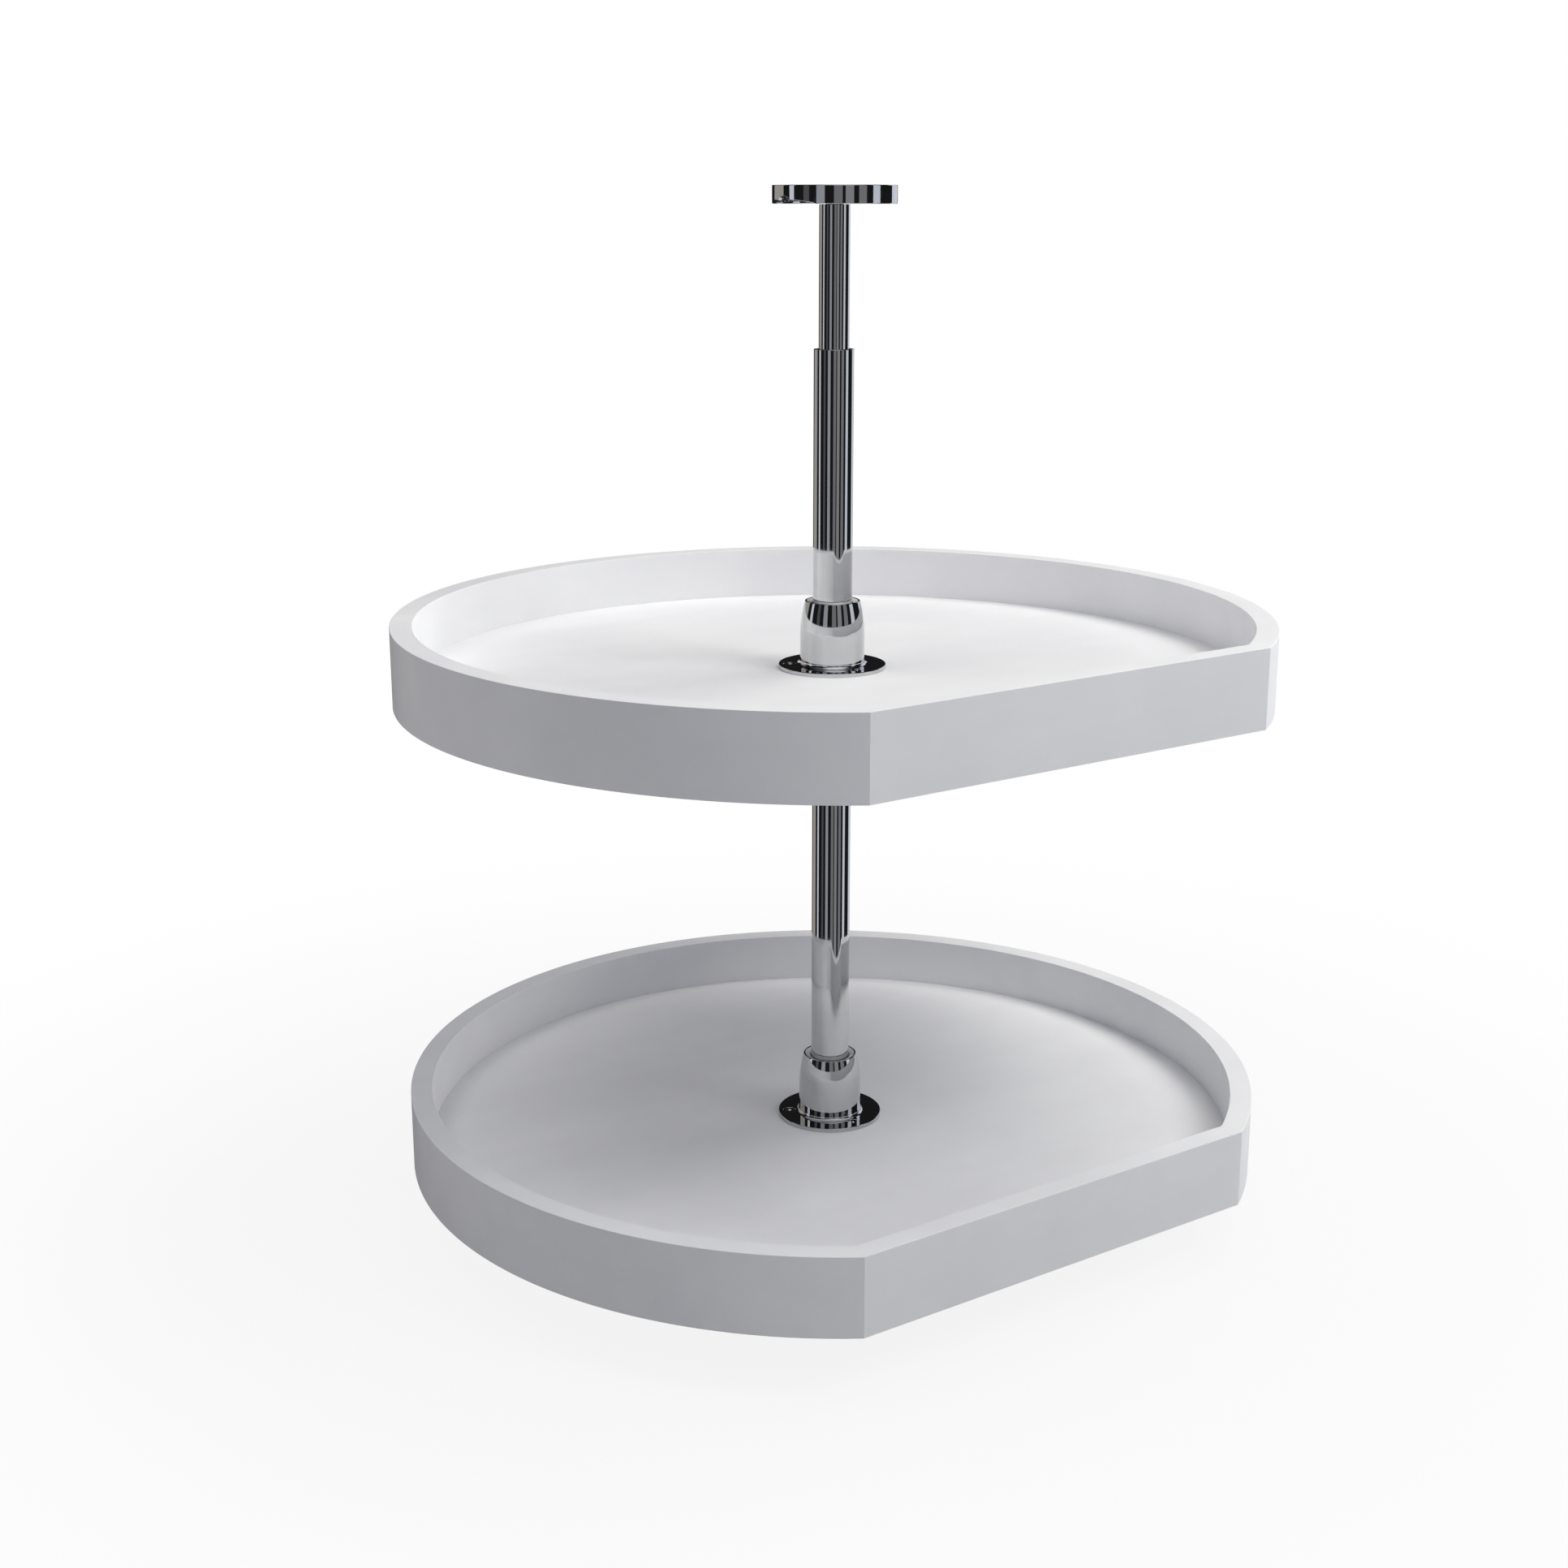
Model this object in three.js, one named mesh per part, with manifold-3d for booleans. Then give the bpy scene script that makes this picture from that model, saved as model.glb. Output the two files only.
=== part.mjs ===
// A two-tier carousel for a corner cabinet: two D-shaped trays that turn on a telescoping pole.
// Millimetres, +Z up. The origin is on the pole's axis, on the cabinet floor, and the straight side
// of the trays faces -Y.

import * as THREE from 'three';
import { mergeVertices } from 'three/addons/utils/BufferGeometryUtils.js';
import Module from 'manifold-3d';

const wasm = await Module();
wasm.setup();

// ---- driving dimensions ----

const overallHeight = 660.4; // cabinet floor to the cabinet's top, as shown

// trays
const trayRadius = 279.4;
const flatDistance = 237.3; // from the axis to the straight side's outer face
const bandHeight = 50;
const bandWall = 14;
const panelThickness = 15;
const rebateDepth = 6; // how far the panel's thinner edge reaches in under the bands
const edgeThickness = 10;
const lowerTrayZ = 37.4; // underside of the lower tray
const traySpacing = 309;

// pole
const tubeRadius = 12.5;
const tubeWall = 1.2;
const tubeTopZ = 562.5;
const rodRadius = 9.5;
const rodWall = 1;
const rodLength = 337;
const guideLength = 20; // guide bush in the tube's mouth
const guideRecess = 0.2;
const plugLength = 20; // how far a plug reaches into its tube
const plugFlange = 2;

// end plates: shallow cups, screwed down through their web
const plateRadius = 38.3;
const plateThickness = 11;
const plateWeb = 4.5;
const plateRimWall = 2.5;
const plateEdge = 0.5;
const plateHoles = 3;
const plateHoleCircle = 24;
const plateHoleRadius = 2.4;
const bossRadius = 12;
const pivotRadius = 5.5;
const pivotFloor = 3; // metal left under the pivot's pocket
const reliefHalfWidth = 25.6; // low cut in the rim, with a flat top and an arch in its middle
const reliefTopHalfWidth = 11.8;
const reliefHeight = 2;
const archHalfWidth = 5.8;
const archRise = 2.2;

// hubs
const flangeRadius = 34.5;
const flangeThickness = 2.5;
const flangeEdge = 0.4;
const flangeSeat = 0.5; // how far the flange is let into the tray floor
const hubRadius = 20.7;
const hubHeight = 43.5;
const hubStraight = 20; // height at which the side starts to curve in
const hubFillet = 2;
const mouthRadius = 17.5;
const mouthLand = 1.2;

// hub screws
const hubScrews = 3;
const hubScrewCircle = 27.3;
const hubScrewTurn = 30; // degrees from +X to the first one
const screwHeadRadius = 4.15;
const screwShankRadius = 1.9;
const screwLength = 14;
const screwPoint = 2;
const screwSink = 0.1; // how far the head lies under the flange's face
const recessLength = 4.8;
const recessWidth = 0.9;
const recessDepth = 1.2;

// hub bushes
const bushFlangeRadius = 22;
const bushFlangeThickness = 2.5;
const bushSink = 0.3; // how far the bush lies under the hub's mouth
const bushLip = 0.3;
const funnelDepth = 1.2;
const funnelBore = 13.3;
const funnelLand = 2;

// stop collars and thrust washers
const collarRadius = 22;
const collarHeight = 14;
const washerRadius = 21;
const washerThickness = 1.5;
const setScrewRadius = 3;
const setScrewSink = 0.6;
const socketRadius = 1.7;
const socketSides = 6;
const socketDepth = 3;

// twist lock inside the tube
const lockSleeveHeight = 32;
const lockSleeveWeb = 6;
const lockBoreTop = 5;
const lockBoreBottom = 9.2;
const lockConeTop = 12; // both measured down from the sleeve's top
const lockConeBottom = 30;
const lockTravel = 2; // one turn of the stud's thread
const lockSlot = 2.6;
const lockKey = 1.8;
const lockKeyInset = 0.9; // the key stops this far short of the tube
const studRadius = 3;
const studSeat = 12; // how far the stud is screwed into its plug
const studStopRadius = 6;
const studStopThickness = 3;
const lockPlugFlange = 3;

// clearances
const gap = 0.3; // where pieces meet on a round or sloping face, or turn on each other
const beyond = 1; // how far a cutting shape runs past what it cuts

// smoothness
const roundFacets = 36;
const screwFacets = 16;
const trayStep = 3.75; // degrees between a tray's corners
const filletSteps = 2;
const hubSteps = 5;
const archSteps = 6;

// ---- sizes that follow ----

const tubeBore = tubeRadius - tubeWall;
const rodBore = rodRadius - rodWall;
const collarBore = tubeRadius + gap;
const hubBore = mouthRadius - mouthLand;
const pocketRadius = pivotRadius + gap;
const washerTop = plateThickness + washerThickness;
const tubeBottomZ = washerTop + gap + plugFlange;
const rodTopZ = overallHeight - plateThickness - gap;
const rodBottomZ = rodTopZ - rodLength;
const upperTrayZ = lowerTrayZ + traySpacing;
const lockTopZ = rodBottomZ - lockPlugFlange - gap;

// ---- materials ----

function finish(color, roughness, metalness) {
  return new THREE.MeshStandardMaterial({ color, roughness, metalness, flatShading: true });
}

const lacquer = finish(0xe6e6e8, 0.5, 0);
const chrome = finish(0xd9dbde, 0.07, 1);
const whiteNylon = finish(0xefeee9, 0.45, 0);
const blackNylon = finish(0x1d1d1f, 0.5, 0);
const steel = finish(0x9b9ea2, 0.35, 1);
const brass = finish(0xb5924c, 0.3, 1);

// ---- solids ----

function toSolid(geometry) {
  const bare = geometry.clone();
  bare.deleteAttribute('normal');
  bare.deleteAttribute('uv');
  const merged = mergeVertices(bare, 1e-4);
  const corners = merged.index.array;
  const triVerts = [];
  for (let i = 0; i < corners.length; i += 3) {
    const [a, b, c] = corners.slice(i, i + 3);
    if (a !== b && b !== c && c !== a) triVerts.push(a, b, c);
  }
  const vertProperties = merged.attributes.position.array;
  return new wasm.Manifold(
    new wasm.Mesh({ numProp: 3, vertProperties, triVerts: new Uint32Array(triVerts) }),
  );
}

function toGeometry(solid) {
  const mesh = solid.getMesh();
  const geometry = new THREE.BufferGeometry();
  geometry.setAttribute('position', new THREE.BufferAttribute(mesh.vertProperties, 3));
  geometry.setIndex(new THREE.BufferAttribute(mesh.triVerts, 1));
  geometry.computeVertexNormals();
  return geometry;
}

function combine(operation, first, others) {
  let solid = toSolid(first);
  for (const other of others) solid = solid[operation](toSolid(other));
  return toGeometry(solid);
}

const cut = (body, ...tools) => combine('subtract', body, tools);
const join = (body, ...others) => combine('add', body, others);
const common = (body, tool) => combine('intersect', body, [tool]);

// a solid of revolution about Z; the profile lists [radius, height] corners either way round, and
// closes on itself or runs from axis to axis
function turned(profile, facets = roundFacets) {
  const points = profile.map(([radius, height]) => new THREE.Vector2(radius, height));
  if (THREE.ShapeUtils.area(points) < 0) points.reverse();
  const onAxis = points.some((point) => point.x === 0);
  if (onAxis) {
    while (points[0].x !== 0 || points.at(-1).x !== 0) points.push(points.shift());
  } else {
    points.push(points[0].clone());
  }
  return new THREE.LatheGeometry(points, facets).rotateX(Math.PI / 2);
}

function ring(inner, outer, bottom, top, facets) {
  return turned([[inner, bottom], [outer, bottom], [outer, top], [inner, top]], facets);
}

function disc(radius, bottom, top, facets) {
  return turned([[0, bottom], [radius, bottom], [radius, top], [0, top]], facets);
}

function prism(outline, bottom, top) {
  const shape = new THREE.Shape(outline.map(([x, y]) => new THREE.Vector2(x, y)));
  const geometry = new THREE.ExtrudeGeometry(shape, { depth: top - bottom, bevelEnabled: false });
  return geometry.translate(0, 0, bottom);
}

function block(minX, maxX, minY, maxY, minZ, maxZ) {
  return prism([[minX, minY], [maxX, minY], [maxX, maxY], [minX, maxY]], minZ, maxZ);
}

// points on a circle's arc, ends included
function arc(centre, radius, from, to, steps) {
  return Array.from({ length: steps + 1 }, (_, i) => {
    const angle = THREE.MathUtils.degToRad(from + ((to - from) * i) / steps);
    return [centre[0] + radius * Math.cos(angle), centre[1] + radius * Math.sin(angle)];
  });
}

function around(count, firstDegrees, radius, make) {
  return Array.from({ length: count }, (_, i) => {
    const angle = THREE.MathUtils.degToRad(firstDegrees + (360 * i) / count);
    return make(radius * Math.cos(angle), radius * Math.sin(angle), i + 1);
  });
}

function piece(name, geometry, material, height = 0) {
  const mesh = new THREE.Mesh(geometry, material);
  mesh.name = name;
  mesh.position.z = height;
  return mesh;
}

function assembly(height, ...children) {
  const group = new THREE.Group();
  group.position.z = height;
  group.add(...children);
  return group;
}

// ---- trays ----

// the D, drawn in from its outer edge by inset; corners of the round side keep the same bearings
function dOutline(inset) {
  const radius = trayRadius - inset;
  const flat = flatDistance - inset;
  const first = -THREE.MathUtils.radToDeg(Math.asin(flat / radius));
  const last = 180 - first;
  const bearings = [first];
  for (let i = Math.ceil(first / trayStep); i * trayStep < last; i += 1) {
    if (i * trayStep > first) bearings.push(i * trayStep);
  }
  bearings.push(last);
  return bearings.map((bearing) => {
    const angle = THREE.MathUtils.degToRad(bearing);
    return [radius * Math.cos(angle), radius * Math.sin(angle)];
  });
}

function basePanel() {
  const floor = prism(dOutline(bandWall + gap), 0, panelThickness);
  const edge = prism(dOutline(bandWall - rebateDepth), 0, edgeThickness);
  const hole = disc(hubBore, -beyond, panelThickness + beyond);
  const seat = disc(flangeRadius + gap, panelThickness - flangeSeat, panelThickness + beyond);
  const pilots = around(hubScrews, hubScrewTurn, hubScrewCircle, (x, y) => {
    const bottom = panelThickness + flangeThickness - screwSink - screwLength - gap;
    const pilot = disc(screwShankRadius + gap, bottom, panelThickness + beyond, screwFacets);
    return pilot.translate(x, y, 0);
  });
  return cut(join(floor, edge), hole, seat, ...pilots);
}

// both bands as one closed loop, rebated underneath for the panel's edge
function bandLoop() {
  const outside = prism(dOutline(0), 0, bandHeight);
  const inside = prism(dOutline(bandWall), -beyond, bandHeight + beyond);
  const rebate = prism(dOutline(bandWall - rebateDepth - gap), -beyond, edgeThickness);
  return cut(outside, inside, rebate);
}

// what lies between the two mitres, wider by extra on each side
function mitreWedge(extra) {
  const corner = (inset) => {
    const radius = trayRadius - inset;
    const flat = flatDistance - inset;
    return new THREE.Vector2(Math.sqrt(radius ** 2 - flat ** 2), -flat);
  };
  const outer = corner(0);
  const inner = corner(bandWall);
  const reach = outer.clone().sub(inner);
  outer.add(reach);
  inner.sub(reach);
  const outline = [
    [outer.x + extra, outer.y],
    [inner.x + extra, inner.y],
    [-inner.x - extra, inner.y],
    [-outer.x - extra, outer.y],
  ];
  return prism(outline, -beyond, bandHeight + beyond);
}

// height 0 is the tray floor
function hub() {
  const rise = hubHeight - hubStraight;
  const drawIn = hubRadius - mouthRadius;
  const sideRadius = (rise ** 2 + drawIn ** 2) / (2 * drawIn);
  const sideAngle = THREE.MathUtils.radToDeg(Math.asin(rise / sideRadius));
  const filletCentre = [hubRadius + hubFillet, flangeThickness + hubFillet];
  const body = turned([
    [hubBore, -flangeSeat],
    [flangeRadius, -flangeSeat],
    [flangeRadius, flangeThickness - flangeEdge],
    [flangeRadius - flangeEdge, flangeThickness],
    ...arc(filletCentre, hubFillet, 270, 180, filletSteps),
    ...arc([hubRadius - sideRadius, hubStraight], sideRadius, 0, sideAngle, hubSteps),
    [hubBore, hubHeight],
  ]);
  const sinkRadius = screwHeadRadius + gap;
  const sinkDepth = screwHeadRadius - screwShankRadius;
  const holeBottom = -flangeSeat - beyond;
  const holeTop = flangeThickness + beyond;
  const holes = around(hubScrews, hubScrewTurn, hubScrewCircle, (x, y) => {
    const hole = turned([
      [0, holeBottom],
      [sinkRadius - sinkDepth, holeBottom],
      [sinkRadius - sinkDepth, flangeThickness - sinkDepth],
      [sinkRadius, flangeThickness],
      [sinkRadius, holeTop],
      [0, holeTop],
    ], screwFacets);
    return hole.translate(x, y, 0);
  });
  return cut(body, ...holes);
}

// height 0 is the top of the head
function hubScrew() {
  const body = turned([
    [0, -screwLength],
    [screwShankRadius, screwPoint - screwLength],
    [screwShankRadius, screwShankRadius - screwHeadRadius],
    [screwHeadRadius, 0],
    [0, 0],
  ], screwFacets);
  const half = [recessLength / 2, recessWidth / 2];
  const slots = [half, half.toReversed()].map(([x, y]) => {
    return block(-x, x, -y, y, -recessDepth, beyond);
  });
  return cut(body, ...slots);
}

function hubBush() {
  const top = panelThickness + hubHeight - bushSink;
  const bodyRadius = hubBore - gap;
  return turned([
    [collarBore, -bushFlangeThickness],
    [bushFlangeRadius, -bushFlangeThickness],
    [bushFlangeRadius, 0],
    [bodyRadius, 0],
    [bodyRadius, top],
    [bodyRadius - bushLip, top],
    [funnelBore, top - funnelDepth],
    [funnelBore, top - funnelDepth - funnelLand],
    [collarBore, top - funnelDepth - funnelLand],
  ]);
}

function tray(prefix, height) {
  const loop = bandLoop();
  const screwTop = panelThickness + flangeThickness - screwSink;
  const screws = around(hubScrews, hubScrewTurn, hubScrewCircle, (x, y, number) => {
    const screw = piece(`${prefix}_hub_screw_${number}`, hubScrew(), chrome, screwTop);
    screw.position.x = x;
    screw.position.y = y;
    return screw;
  });
  return assembly(
    height,
    piece(`${prefix}_base_panel`, basePanel(), lacquer),
    piece(`${prefix}_curved_band`, cut(loop, mitreWedge(gap)), lacquer),
    piece(`${prefix}_front_band`, common(loop, mitreWedge(0)), lacquer),
    piece(`${prefix}_hub`, hub(), chrome, panelThickness),
    piece(`${prefix}_hub_bush`, hubBush(), whiteNylon),
    ...screws,
  );
}

// ---- what carries a tray on the tube ----

// a cylinder along X, from near to far
function radialPin(radius, near, far, facets = screwFacets) {
  return disc(radius, near, far, facets).rotateY(Math.PI / 2);
}

function stopCollar() {
  const body = ring(collarBore, collarRadius, -collarHeight, 0);
  const hole = radialPin(setScrewRadius + gap, collarBore / 2, collarRadius + beyond);
  return cut(body, hole.translate(0, 0, -collarHeight / 2));
}

function setScrew() {
  const far = collarRadius - setScrewSink;
  const socket = radialPin(socketRadius, far - socketDepth, far + beyond, socketSides);
  return cut(radialPin(setScrewRadius, collarBore, far), socket);
}

function carrier(prefix, trayHeight) {
  const washerZ = trayHeight - bushFlangeThickness - gap - washerThickness;
  return assembly(
    washerZ,
    piece(`${prefix}_thrust_washer`, ring(collarBore, washerRadius, 0, washerThickness), steel),
    piece(`${prefix}_stop_collar`, stopCollar(), steel),
    piece(`${prefix}_collar_screw`, setScrew(), steel, -collarHeight / 2),
  );
}

// ---- end plates ----

// lies on its mounting face, with its open side up and its relief towards -X
function endPlate() {
  const rimBore = plateRadius - plateRimWall;
  const body = turned([
    [0, 0],
    [plateRadius - plateEdge, 0],
    [plateRadius, plateEdge],
    [plateRadius, plateThickness - plateEdge],
    [plateRadius - plateEdge, plateThickness],
    [rimBore, plateThickness],
    [rimBore, plateWeb],
    [bossRadius, plateWeb],
    [bossRadius, plateThickness],
    [pocketRadius, plateThickness],
    [pocketRadius, pivotFloor],
    [0, pivotFloor],
  ]);
  const holes = around(plateHoles, 0, plateHoleCircle, (x, y) => {
    const hole = disc(plateHoleRadius, -beyond, plateWeb + beyond, screwFacets);
    return hole.translate(x, y, 0);
  });
  const reliefTop = plateThickness - reliefHeight;
  const arch = arc([0, 0], 1, 180, 0, archSteps).map(([across, up]) => {
    return [across * archHalfWidth, reliefTop - up * archRise];
  });
  const outline = [
    [-reliefHalfWidth, plateThickness + beyond],
    [-reliefHalfWidth, plateThickness],
    [-reliefTopHalfWidth, reliefTop],
    ...arch,
    [reliefTopHalfWidth, reliefTop],
    [reliefHalfWidth, plateThickness],
    [reliefHalfWidth, plateThickness + beyond],
  ];
  const relief = prism(outline, -plateRadius - beyond, -bossRadius - beyond);
  relief.rotateX(Math.PI / 2).rotateZ(Math.PI / 2);
  return cut(body, ...holes, relief);
}

// ---- pole ----

function footPlug() {
  return turned([
    [0, pivotFloor + gap],
    [pivotRadius, pivotFloor + gap],
    [pivotRadius, washerTop + gap],
    [tubeRadius, washerTop + gap],
    [tubeRadius, tubeBottomZ],
    [tubeBore - gap, tubeBottomZ],
    [tubeBore - gap, tubeBottomZ + plugLength],
    [0, tubeBottomZ + plugLength],
  ]);
}

function topPivot() {
  return turned([
    [0, rodTopZ - plugLength],
    [rodBore - gap, rodTopZ - plugLength],
    [rodBore - gap, rodTopZ],
    [pivotRadius, rodTopZ],
    [pivotRadius, overallHeight - pivotFloor - gap],
    [0, overallHeight - pivotFloor - gap],
  ]);
}

// ---- twist lock, with height 0 at the top of the sleeve ----

function lockBoreAt(depth) {
  const share = (depth - lockSleeveWeb) / (lockSleeveHeight - lockSleeveWeb);
  return THREE.MathUtils.lerp(lockBoreTop, lockBoreBottom, share);
}

function lockSleeve() {
  const body = turned([
    [studRadius + gap, 0],
    [tubeBore - gap, 0],
    [tubeBore - gap, -lockSleeveHeight],
    [lockBoreBottom, -lockSleeveHeight],
    [lockBoreTop, -lockSleeveWeb],
    [studRadius + gap, -lockSleeveWeb],
  ]);
  const half = lockSlot / 2;
  return cut(body, block(0, tubeRadius, -half, half, -lockSleeveHeight - beyond, beyond));
}

function lockCone() {
  const body = turned([
    [studRadius + gap, -lockConeBottom],
    [lockBoreAt(lockConeBottom) - gap, -lockConeBottom],
    [lockBoreAt(lockConeTop) - gap, -lockConeTop],
    [studRadius + gap, -lockConeTop],
  ]);
  const half = lockKey / 2;
  const keyStart = (studRadius + lockBoreAt(lockConeTop)) / 2;
  const keyEnd = tubeBore - lockKeyInset;
  const key = block(keyStart, keyEnd, -half, half, -lockConeBottom, -lockConeTop);
  return join(body, key);
}

function lockStud() {
  const stopTop = -lockConeBottom - lockTravel - gap;
  return turned([
    [0, stopTop - studStopThickness],
    [studStopRadius, stopTop - studStopThickness],
    [studStopRadius, stopTop],
    [studRadius, stopTop],
    [studRadius, gap + studSeat],
    [0, gap + studSeat],
  ]);
}

function rodPlug() {
  return turned([
    [studRadius + gap, gap],
    [rodRadius, gap],
    [rodRadius, gap + lockPlugFlange],
    [rodBore - gap, gap + lockPlugFlange],
    [rodBore - gap, gap + lockPlugFlange + plugLength],
    [0, gap + lockPlugFlange + plugLength],
    [0, gap + studSeat],
    [studRadius + gap, gap + studSeat],
  ]);
}

// ---- the whole carousel ----

const floorEnd = assembly(
  0,
  piece('floor_plate', endPlate(), chrome),
  piece('floor_washer', ring(pocketRadius, bossRadius, plateThickness, washerTop), blackNylon),
);

const topEnd = assembly(overallHeight, piece('top_plate', endPlate(), chrome));
topEnd.rotation.x = Math.PI;

const guideTop = tubeTopZ - guideRecess;
const guide = ring(rodRadius + gap, tubeBore - gap, guideTop - guideLength, guideTop);
const pole = assembly(
  0,
  piece('outer_tube', ring(tubeBore, tubeRadius, tubeBottomZ, tubeTopZ), chrome),
  piece('foot_plug', footPlug(), blackNylon),
  piece('guide_bush', guide, blackNylon),
  piece('inner_rod', ring(rodBore, rodRadius, rodBottomZ, rodTopZ), chrome),
  piece('top_pivot', topPivot(), blackNylon),
);

const lock = assembly(
  lockTopZ,
  piece('lock_sleeve', lockSleeve(), blackNylon),
  piece('lock_cone', lockCone(), brass),
  piece('lock_stud', lockStud(), steel),
  piece('rod_plug', rodPlug(), steel),
);

const carousel = assembly(
  0,
  floorEnd,
  pole,
  lock,
  carrier('lower', lowerTrayZ),
  tray('lower', lowerTrayZ),
  carrier('upper', upperTrayZ),
  tray('upper', upperTrayZ),
  topEnd,
);
carousel.name = 'corner_carousel';

export default carousel;
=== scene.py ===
from math import asin, cos, pi, radians, sin, sqrt

import bmesh
import bpy
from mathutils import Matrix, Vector


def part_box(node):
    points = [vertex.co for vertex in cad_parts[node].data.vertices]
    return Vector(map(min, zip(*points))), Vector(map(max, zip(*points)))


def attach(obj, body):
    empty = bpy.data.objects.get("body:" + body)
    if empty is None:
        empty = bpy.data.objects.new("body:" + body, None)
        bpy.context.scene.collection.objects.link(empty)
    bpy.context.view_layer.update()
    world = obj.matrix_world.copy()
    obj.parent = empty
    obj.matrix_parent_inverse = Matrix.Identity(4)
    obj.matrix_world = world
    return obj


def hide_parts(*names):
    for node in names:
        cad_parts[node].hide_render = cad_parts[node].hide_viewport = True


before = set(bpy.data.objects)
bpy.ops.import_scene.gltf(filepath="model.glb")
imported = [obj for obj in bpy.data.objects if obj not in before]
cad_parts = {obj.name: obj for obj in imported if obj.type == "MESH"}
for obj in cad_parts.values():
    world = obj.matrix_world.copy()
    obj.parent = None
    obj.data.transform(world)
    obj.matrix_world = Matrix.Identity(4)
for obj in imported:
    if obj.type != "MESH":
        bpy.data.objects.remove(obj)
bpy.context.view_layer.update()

# Two D-shaped trays that turn on a telescoping chrome pole. Metres, in the frame's own place.

scene = bpy.context.scene
scene.view_settings.view_transform = "Standard"
mergeWidth = 1e-6    # corners nearer to each other than this are one
speckSize = 1e-4    # what a drawn line grows from
overCut = 0.001    # how far a cutting tool stands out of what it cuts
smoothAngle = 32    # edges flatter than this are shaded smooth
print("stage: frame loaded")


# how pieces are made

def selectOnly(piece=None):
    if bpy.context.object and bpy.context.object.mode == "EDIT":
        bpy.ops.object.mode_set(mode="OBJECT")
    bpy.ops.object.select_all(action="DESELECT")
    if piece:
        piece.select_set(True)
        bpy.context.view_layer.objects.active = piece


def editPiece(piece):
    selectOnly(piece)
    bpy.ops.object.mode_set(mode="EDIT")
    bpy.ops.mesh.select_mode(type="VERT")
    bpy.ops.mesh.select_all(action="DESELECT")


def nameFresh(name):
    piece = bpy.context.object
    piece.name = name
    piece.data.name = name
    bpy.ops.object.transform_apply(location=True, rotation=True, scale=True)
    return piece


def pickFaces(piece, wanted):
    # wanted is asked about each face's centre
    bpy.ops.mesh.select_all(action="DESELECT")
    mesh = bmesh.from_edit_mesh(piece.data)
    for face in mesh.faces:
        if wanted(face.calc_center_median()):
            face.select_set(True)
    bmesh.update_edit_mesh(piece.data)


def closeUp(piece):
    editPiece(piece)
    bpy.ops.mesh.select_all(action="SELECT")
    bpy.ops.mesh.remove_doubles(threshold=mergeWidth)
    bpy.ops.mesh.normals_make_consistent(inside=False)
    selectOnly(piece)
    return piece


def cutOff(place, keepTowards):
    # cuts what is selected by a plane, and closes the one hole that it leaves
    bpy.ops.mesh.bisect(
        plane_co=place,
        plane_no=Vector(keepTowards).normalized(),
        clear_inner=True,
        threshold=mergeWidth,
    )
    bpy.ops.mesh.select_all(action="DESELECT")
    bpy.ops.mesh.select_non_manifold(
        extend=False, use_wire=False, use_multi_face=False, use_non_contiguous=False, use_verts=False
    )
    bpy.ops.mesh.edge_face_add()


def roundCorner(piece, place, rounding, segments):
    # bevels the one corner of a drawn line that lies at place
    bpy.ops.mesh.select_all(action="DESELECT")
    mesh = bmesh.from_edit_mesh(piece.data)
    nearest = min(mesh.verts, key=lambda corner: (corner.co - place).length)
    nearest.select_set(True)
    bmesh.update_edit_mesh(piece.data)
    bpy.ops.mesh.bevel(offset=rounding, segments=segments, affect="VERTICES")


def drawSection(name, section, placed, closed=True, segments=3):
    # a line from corner to corner; a corner is two numbers and, if it is rounded, how far
    places = [placed(corner[0], corner[1]) for corner in section]
    path = places + places[:1] if closed else places
    selectOnly()
    bpy.ops.mesh.primitive_plane_add(size=speckSize, location=path[0])
    piece = nameFresh(name)
    editPiece(piece)
    bpy.ops.mesh.select_all(action="SELECT")
    bpy.ops.mesh.merge(type="CENTER")
    for here, there in zip(path, path[1:]):
        bpy.ops.mesh.extrude_vertices_move(TRANSFORM_OT_translate={"value": there - here})
    bpy.ops.mesh.select_all(action="SELECT")
    bpy.ops.mesh.remove_doubles(threshold=mergeWidth)
    for corner, place in zip(section, places):
        if len(corner) > 2:
            roundCorner(piece, place, corner[2], segments)
    bpy.ops.mesh.select_all(action="SELECT")
    return piece


def turnPiece(name, section, lift=0.0, steps=192, segments=3):
    # turned on the pole's axis; corners are radius and height
    closed = section[0][0] > 0
    piece = drawSection(
        name,
        section,
        lambda radius, height: Vector((radius, 0, height + lift)),
        closed,
        segments,
    )
    bpy.ops.mesh.spin(steps=steps, angle=2 * pi, center=(0, 0, 0), axis=(0, 0, 1))
    return closeUp(piece)


def ringPlaces(count, circle, firstTurn=0):
    # evenly round the pole
    turns = [radians(firstTurn + 360 / count * i) for i in range(count)]
    return [(circle * cos(turn), circle * sin(turn)) for turn in turns]


def shiftPiece(piece, x=0.0, y=0.0, z=0.0):
    selectOnly(piece)
    bpy.ops.transform.translate(value=(x, y, z))
    bpy.ops.object.transform_apply(location=True, rotation=True, scale=True)
    return piece


def turnAbout(piece, angle, axis, centre=(0, 0, 0)):
    selectOnly(piece)
    bpy.ops.transform.rotate(value=angle, orient_axis=axis, center_override=centre)
    bpy.ops.object.transform_apply(location=True, rotation=True, scale=True)


def copyPiece(piece, name, x=0.0, y=0.0, z=0.0):
    selectOnly(piece)
    bpy.ops.object.duplicate()
    twin = bpy.context.object
    twin.name = name
    twin.data.name = name
    return shiftPiece(twin, x, y, z)


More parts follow.
